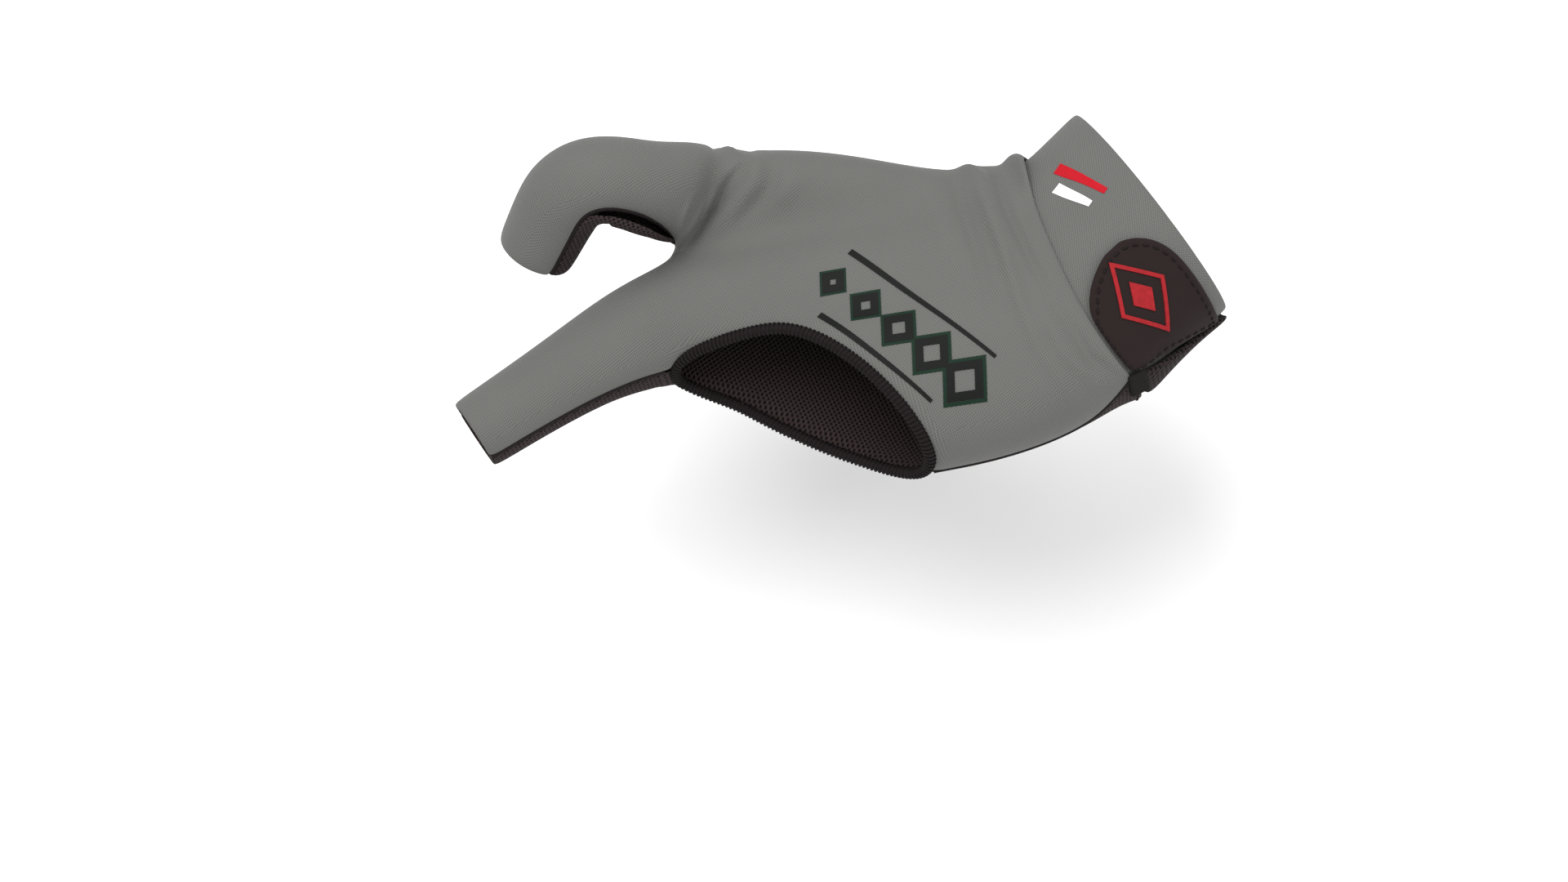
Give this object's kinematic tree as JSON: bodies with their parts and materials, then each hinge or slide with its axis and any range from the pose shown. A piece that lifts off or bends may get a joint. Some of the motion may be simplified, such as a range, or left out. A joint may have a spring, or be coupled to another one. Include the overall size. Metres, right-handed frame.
{
  "type": "billiard glove",
  "caption": "Left-hand billiard glove in its worn form, with thumb, index and middle sleeves, a bound side opening and a strapped cuff.",
  "frame": {"origin": "middle of the wrist opening", "axes": "+X up the forearm, so the fingers point towards -X; +Y is the thumb side; +Z leaves the back of the hand"},
  "size_m": [0.1856, 0.0925, 0.0738],
  "materials": {
    "stretch_cloth": "matte knitted stretch cloth, grey",
    "mesh_cloth": "matte knitted mesh, black",
    "overlock_thread": "matte thread, black",
    "felt": "matte felt, black",
    "webbing": "matte woven elastic, black"
  },
  "bodies": {
    "root": {"back_panel": "stretch_cloth", "palm_panel": "mesh_cloth", "thumb_panel": "stretch_cloth", "cuff_band": "stretch_cloth", "opening_binding": "overlock_thread", "strap_tab": "felt", "wrist_strap": "webbing"}
  },
  "joints": []
}
